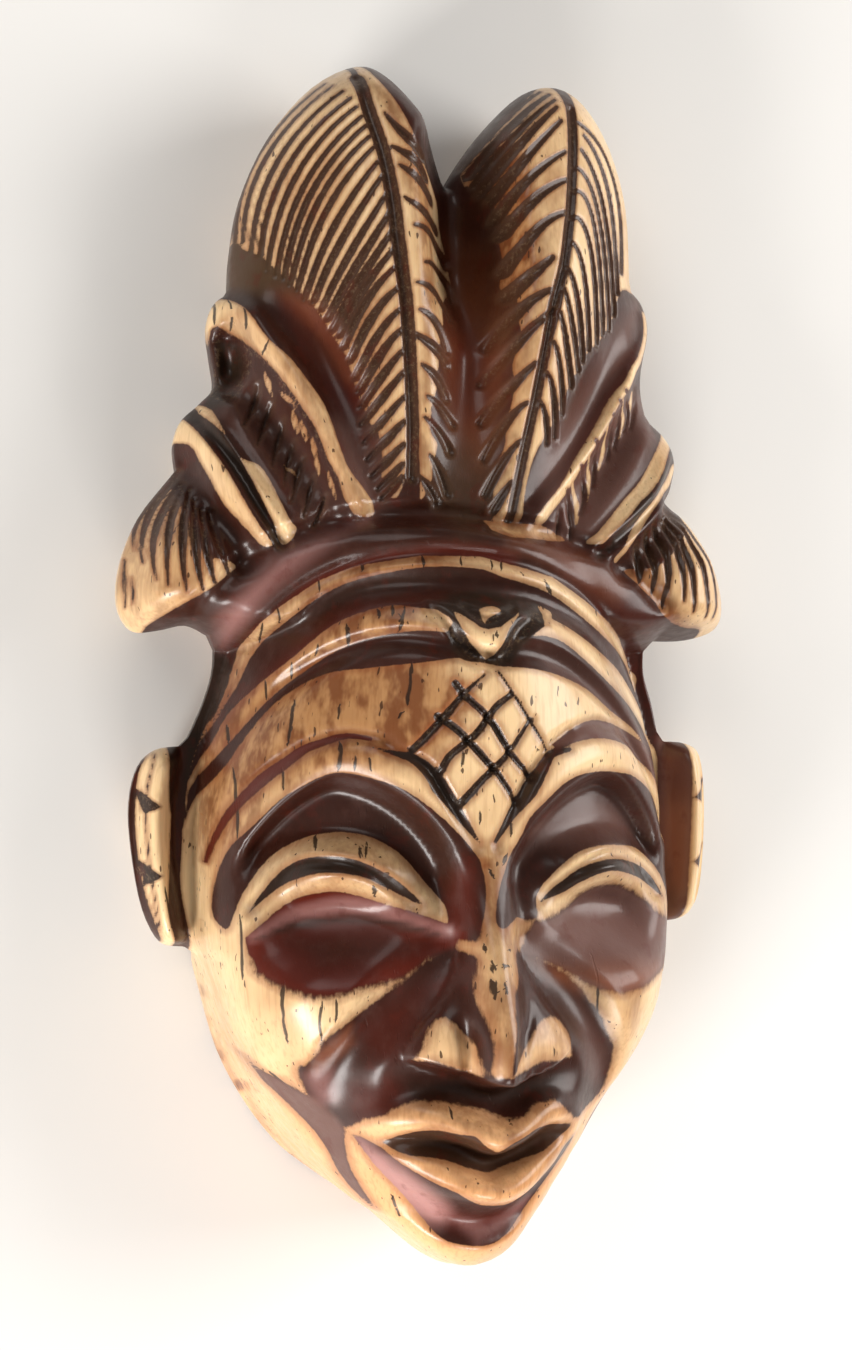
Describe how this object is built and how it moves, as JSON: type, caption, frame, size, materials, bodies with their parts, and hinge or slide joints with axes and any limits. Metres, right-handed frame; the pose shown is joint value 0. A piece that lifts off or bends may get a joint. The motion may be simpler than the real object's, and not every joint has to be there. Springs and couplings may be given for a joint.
{
  "type": "miniature mask",
  "caption": "Miniature mask with closed eyes and a tall feathered crest, carved from one piece of bone and stained dark brown.",
  "frame": {"origin": "centre of the mask's outline, on the plane of its back rim", "axes": "+X to the right of someone facing the mask, +Y from the chin to the top of the crest, +Z out of the face"},
  "size_m": [0.0575, 0.1081, 0.0307],
  "materials": {
    "stained_bone": "gloss"
  },
  "bodies": {
    "root": {"mask": "stained_bone"}
  },
  "joints": []
}
